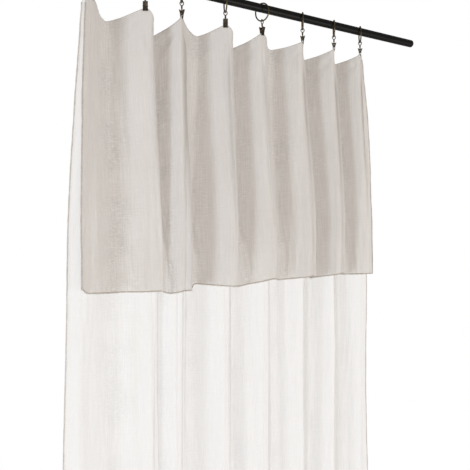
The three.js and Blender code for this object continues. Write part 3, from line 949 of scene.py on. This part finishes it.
def plan_points(knots, at):
    """Points on that line at knot numbers `at`: x, y, slope, top edge height, hem lift."""
    span = np.minimum(at.astype(int), len(knots) - 2)
    s = at - span
    a, b = knots[span], knots[span + 1]
    run = b[:, 0] - a[:, 0]
    y = (
        (2 * s**3 - 3 * s**2 + 1) * a[:, 1]
        + (s**3 - 2 * s**2 + s) * run * a[:, 2]
        + (3 * s**2 - 2 * s**3) * b[:, 1]
        + (s**3 - s**2) * run * b[:, 2]
    )
    slope = (
        (6 * s**2 - 6 * s) * (a[:, 1] - b[:, 1]) / run
        + (3 * s**2 - 4 * s + 1) * a[:, 2]
        + (3 * s**2 - 2 * s) * b[:, 2]
    )
    falling = (a[:, 3] >= b[:, 3]).astype(float)
    ease = falling * (1 - (1 - s) ** SAG_FALL) + (1 - falling) * s**SAG_RISE
    top = mix(a[:, 3], b[:, 3], ease)
    return mix(a[:, 0], b[:, 0], s), y, slope, top, mix(a[:, 4], b[:, 4], s)


def ripple(seed, count, across, along):
    """A smooth random field of (width, depth) in millimetres, about -1 to 1."""
    rng = np.random.default_rng(seed)
    waves = []
    for _ in range(count):
        length_u = math.exp(rng.uniform(math.log(across[0]), math.log(across[1])))
        length_v = math.exp(rng.uniform(math.log(along[0]), math.log(along[1])))
        sign = rng.choice([-1.0, 1.0])
        phase = rng.uniform(*ANY_PHASE)
        waves.append((2 * np.pi / length_u, sign * 2 * np.pi / length_v, phase))

    def field(u, v):
        total = np.zeros_like(u)
        for ku, kv, phase in waves:
            total += np.sin(ku * u + kv * v + phase)
        return total / math.sqrt(count / 2) / 1.6

    return field


# seed, number of waves, and their lengths across and along the cloth
fold_field = ripple(11, 9, (38, 80), (420, 1400))
crease_field = ripple(12, 16, (11, 26), (90, 420))
crinkle_field = ripple(13, 26, (5, 11), (14, 70))
weft_field = ripple(16, 24, (16, 60), (7, 15))
patch_field = ripple(17, 9, (50, 150), (60, 260))
own_flap = ripple(14, 14, (16, 48), (120, 500))
own_panel = ripple(15, 12, (34, 110), (500, 2400))


def knot_columns(count):
    """Knot numbers of the mesh's columns, closest beside the clips, and widths along the cloth."""
    knots = plan_knots(sink=0.55, foot=0, soften=1, push=0, left=FLAP_LEFT, right=FLAP_RIGHT)
    fine = np.linspace(0, len(knots) - 1, 6000)
    x, y, _, _, _ = plan_points(knots, fine)
    length = np.concatenate([[0], np.cumsum(np.hypot(np.diff(x), np.diff(y)))])
    # An edge knot, then for each clip its two lips and the valley after it.
    tips = np.interp([1.5 + 3 * k for k in range(HANGERS)], fine, length)
    crowd = 1 + CROWD * hill((length[:, None] - tips - CROWD_AT) / CROWD_WIDTH).sum(1)
    weight = np.concatenate([[0], np.cumsum(np.diff(length) * (crowd[1:] + crowd[:-1]) / 2)])
    width = np.interp(np.linspace(0, weight[-1], count), weight, length)
    return np.interp(width, length, fine), width, tips


COLUMN_AT, COLUMN_U, TIP_U = knot_columns(COLUMNS)


def clip_distance(u, depth):
    """How far a place on the cloth is from the nearest clip, in millimetres."""
    gap = np.min(np.abs(u[..., None] - TIP_U), axis=-1)
    return np.hypot(gap, np.maximum(depth - 4, 0))


CREASE_AT = [0, 8, 10, 7, 7, 9, 9, 9]  # millimetres to the right of each clip
CREASE_DEPTH = [0, 1.5, 6.5, 3.0, 3.0, 5.0, 5.0, 3.0]
CREASE_WIDTH = 3.6
RIDGE_SHARE = 0.25  # a low ridge left of the crease, as a share of the crease's depth
RIDGE_LEFT, RIDGE_WIDTH = 7.5, 3.0


def pressed_tips(u, depth):
    """The sharp fold that each clip starts, and the narrow crease just to its right."""
    total = np.zeros_like(u)
    for tip, at, deep in zip(TIP_U, CREASE_AT, CREASE_DEPTH):
        total += RIDGE_SHARE * deep * hill((u - tip - at + RIDGE_LEFT) / RIDGE_WIDTH)
        total -= deep * hill((u - tip - at) / CREASE_WIDTH)
    return total * smooth((depth - PINCH_DEPTH) / 40)


# Painted shade along the creases: how dark each line is, where it lies, where it begins and how it
# fades.
CREASE_DARK = [0, 0.2, 0.8, 0.6, 0.6, 0.7, 0.8, 0.6]
DARK_AT = [0, 6.5, 8.5, 4.0, 4.0, 4.8, 4.8, 4.8]  # millimetres to the right of each clip
DARK_FROM = [0, 30, 0, 40, 40, 40, 40, 40]  # depth at which each dark line begins
DARK_WIDTH = 2.8
DARK_LOST = 0.7  # share of the darkness that fades further down
DARK_FADE_FROM, DARK_FADE_OVER = 160, 330


def crease_shade_lines(u, depth):
    """How much painted shade darkens the colour along each crease, from 0 to 1."""
    total = np.zeros_like(u)
    for tip, at, dark, begin in zip(TIP_U, DARK_AT, CREASE_DARK, DARK_FROM):
        total += dark * hill((u - tip - at) / DARK_WIDTH) * smooth((depth - begin) / 60)
    return total * (1 - DARK_LOST * smooth((depth - DARK_FADE_FROM) / DARK_FADE_OVER))


FAN_HEIGHT = 2.1
FAN_WAVES = 8.5  # radians of ripple in each radian round the clip
FAN_REACH = 42
TENT = [0, 0, 5.0, 2.0, 8.0, 3.0, 6.0, 3.0]  # height of the slanting fold left of each clip
TENT_SLANT, TENT_WIDTH = 0.95, 0.24  # radians, from straight down
TENT_REACH = 58


def drag_folds(u, depth):
    """Small folds that fan out below each clip, and one slanting fold to its left."""
    total = np.zeros_like(u)
    for k, tip in enumerate(TIP_U):
        across, down = u - tip, depth - 2
        reach = np.hypot(across, down)
        fan = np.arctan2(across, np.maximum(down, 0.01))
        wave = np.cos(FAN_WAVES * fan + 1.3 * k)
        total += FAN_HEIGHT * (wave * smooth((reach - 9) / 22) * np.exp(-reach / FAN_REACH))
        lean = hill((fan + TENT_SLANT) / TENT_WIDTH) * smooth((reach - 10) / 22)
        total += TENT[k] * lean * np.exp(-((reach / TENT_REACH) ** 4))
    return total


LOOSE_WIDTH = 0.22  # of the loose cloth, as a share of the way between two clips
PATCH_EDGE = 0.35


def between_clips(u):
    """1 where the cloth hangs loose between two clips, 0 where a clip pulls it smooth."""
    total = np.zeros_like(u)
    for a, b in zip(TIP_U[:-1], TIP_U[1:]):
        share = (u - a) / (b - a)
        total += hill((share - 0.5) / LOOSE_WIDTH) * (u > a) * (u <= b)
    return total


def weft_crinkles(u, depth):
    """Patches of fine cross creases on the cloth between two clips."""
    patches = np.clip((patch_field(u, depth) + PATCH_EDGE) / (2 * PATCH_EDGE), 0, 1)
    return between_clips(u) * patches * weft_field(u, depth)


LEAN_BACK, LEAN_DEPTH = 5.5, 26
LEAN_AT, LEAN_WIDTH = 0.74, 0.15  # as shares of the way to the next clip


def top_flare(u, depth):
    """The top edge leans back where it sags between two clips."""
    total = np.zeros_like(u)
    for a, b in zip(TIP_U[:-1], TIP_U[1:]):
        share = np.clip((u - a) / (b - a), 0, 1)
        total += LEAN_BACK * hill((share - LEAN_AT) / LEAN_WIDTH) * (u > a) * (u <= b)
    return total * hill(depth / LEAN_DEPTH)


# Heights in millimetres of the ripples that both layers share, and of each layer's own.
FOLD_HEIGHT = 1.3
CREASE_HEIGHT = 0.42
CRINKLE_HEIGHT = 0.18
WEFT_HEIGHT = 0.6
FLAP_OWN_HEIGHT = 0.6
PANEL_OWN_HEIGHT = 2.4


def cloth_surface(depths, left, right, layer):
    """Points of one layer (-1 flap, 1 panel) in millimetres, and their places on the cloth."""
    points = []
    for depth in depths:
        share = min(max((depth - PINCH_DEPTH) / (FLAP_DROP - PINCH_DEPTH), 0), 1)
        sink = float(smooth(share))
        foot = max((depth - FLAP_DROP) / (PANEL_DROP - FLAP_DROP), 0)
        if layer < 0:
            push = float(smooth((depth - HEM_EASE_FROM) / (FLAP_DROP - HEM_EASE_FROM)))
            soften = mix(1, HEM_EASE, push)
        else:
            push = 0
            soften = mix(mix(1, PANEL_SOFTEN, sink), FOOT_SOFTEN, foot)
        knots = plan_knots(share, foot, soften, push, left, right)
        x, y, slope, top, lift = plan_points(knots, COLUMN_AT)
        lean = np.sqrt(1 + slope**2)
        back = layer * PINCH_OFFSET * lean + max(layer, 0) * PANEL_SETBACK * sink
        low = top - depth + (lift * sink if depth > PINCH_DEPTH else 0)
        z = mix(low, CLOTH_TOP_Z - depth + lift * sink, sink * SAG_LOST)
        if layer > 0:
            swing = PANEL_FLARE * smooth((depth - FLARE_FROM) / FLARE_OVER)
            x = x - swing * smooth(1 - COLUMN_U / FLARE_WIDTH)
        points.append(np.stack([x, y + back, z], 1))
    points = np.array(points)
    u = np.broadcast_to(COLUMN_U, points.shape[:2])
    v = np.broadcast_to(np.asarray(depths)[:, None], points.shape[:2])
    du = np.gradient(points, axis=1)
    dv = np.gradient(points, axis=0)
    normal = np.cross(du, dv)
    normal /= np.linalg.norm(normal, axis=2)[..., None]
    free = smooth((clip_distance(u, v) - STILL_REACH) / STILL_EASE)
    sunk = smooth((v - PINCH_DEPTH) / (FLAP_DROP - PINCH_DEPTH))
    common = FOLD_HEIGHT * fold_field(u, v) * smooth((v - 20) / 160)
    common += CREASE_HEIGHT * crease_field(u, v)
    common += CRINKLE_HEIGHT * crinkle_field(u, v) + WEFT_HEIGHT * weft_crinkles(u, v)
    common += drag_folds(u, v) + top_flare(u, v) + pressed_tips(u, v)
    if layer < 0:
        own = own_flap(u, v) * FLAP_OWN_HEIGHT * sunk
    else:
        own = own_panel(u, v) * PANEL_OWN_HEIGHT * sunk
    points = points + normal * ((common + own) * free)[..., None]
    return points, u, v


def cloth_object(name, depths, left, right, layer, material):
    """One layer as an object, with the painted shade along its creases and its crinkle stored for
    the material.
    """
    points, u, v = cloth_surface(depths, left, right, layer)
    rows, width = points.shape[:2]
    uvs = np.stack([u, -v], 2).reshape(-1, 2) * MM
    faces = grid_faces(rows, width)
    obj = mesh_object(name, points.reshape(-1, 3) * MM, faces, material, uvs=uvs)
    for label, field in (("crease", crease_shade_lines(u, v)), ("crinkle", between_clips(u))):
        attribute = obj.data.attributes.new(label, "FLOAT", "POINT")
        attribute.data.foreach_set("value", field.ravel().astype(np.float32))
    return obj, points * MM


FLAP_ROLL = 1.35 * MM
PANEL_ROLL = 1.15 * MM
TOP_ROLL = 0.42 * MM
ROLL_SIDES = 8
ROLL_UNEVEN = 0.05


def roll_object(name, path, radius, material, seed):
    """A rolled hem: a thin soft cord of cloth along an edge, a little uneven."""
    path = np.asarray(path, float)
    rng = np.random.default_rng(seed)
    length = np.concatenate([[0], np.cumsum(np.linalg.norm(np.diff(path, axis=0), axis=1))])
    uneven = np.ones(len(path))
    for _ in range(6):
        wave, phase = rng.uniform(0.012, 0.09), rng.uniform(*ANY_PHASE)
        uneven += ROLL_UNEVEN * np.sin(length * 2 * np.pi / wave + phase)
    vertices, faces = tube_mesh(path, radius * uneven, ROLL_SIDES)
    around = np.tile(np.linspace(0, radius * 6, ROLL_SIDES), len(path))
    uvs = np.stack([np.repeat(length, ROLL_SIDES), around], 1)
    obj = mesh_object(name, vertices, faces, material, uvs=uvs)
    tidy_normals(obj)
    return obj


top_depths = np.linspace(0, 24, 9)
flap_depths = np.concatenate([top_depths, np.linspace(28, FLAP_DROP, 130)])
panel_depths = np.concatenate(
    [top_depths, np.linspace(28, FLAP_DROP, 110), np.linspace(FLAP_DROP + 10, PANEL_DROP, 180)]
)
flap, flap_points = cloth_object("flap_cloth", flap_depths, FLAP_LEFT, FLAP_RIGHT, -1, FLAP_GAUZE)
panel, panel_points = cloth_object(
    "panel_cloth", panel_depths, PANEL_LEFT, PANEL_RIGHT, 1, PANEL_GAUZE
)

hems = {"flap": [], "panel": []}
for name, points, material, radius in (
    ("flap", flap_points, FLAP_HEM, FLAP_ROLL),
    ("panel", panel_points, PANEL_HEM, PANEL_ROLL),
):
    edges = {
        "hem_left": points[3:, 0],
        "hem_right": points[3:, -1],
        "hem_foot": points[-1],
    }
    for k, (edge, path) in enumerate(edges.items()):
        hems[name].append(roll_object(f"{name}_{edge}", path, radius, material, seed=20 + k))
    hems[name].append(roll_object(f"{name}_hem_top", points[0], TOP_ROLL, material, seed=30))

for cloth, name, node, slot_name in (
    (flap, "flap", "front_flap", "flap_gauze"),
    (panel, "panel", "long_panel", "panel_gauze"),
):
    for piece in [cloth, *hems[name]]:
        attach(piece, "curtain")
        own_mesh(piece)
    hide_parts(node)

# ---- the floor ------------------------------------------------------------------------

paint = Nodes("floor_paint")
floor_at = paint.add("TexCoord").outputs["Object"]
floor_tone = paint.ramp(
    paint.noise(floor_at, 3.0, 4.0), [(0.3, (0.86, 0.86, 0.85)), (0.7, (0.9, 0.9, 0.89))]
)
floor_solid = paint.add("BsdfPrincipled", {"Base Color": floor_tone, "Roughness": 0.8})
floor_from_middle = paint.add("VectorMath", {0: floor_at}, operation="LENGTH").outputs["Value"]
floor_fade = paint.remap(floor_from_middle, FLOOR_FADE_FROM, FLOOR_RADIUS, 1.0, 0.0)
floor_clear = paint.add("BsdfTransparent")
floor_mix = {0: floor_fade, 1: floor_clear.outputs[0], 2: floor_solid.outputs[0]}
FLOOR_PAINT = paint.output(paint.add("MixShader", floor_mix).outputs[0])

floor_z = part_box("long_panel")[0][2] - FLOOR_GAP
rim = circle(FLOOR_RADIUS, FLOOR_SIDES, (0, 0, 0), (1, 0, 0), (0, 1, 0))
floor = mesh_object("floor", rim, [tuple(range(FLOOR_SIDES))], FLOOR_PAINT, smooth=False)
floor.location.z = floor_z
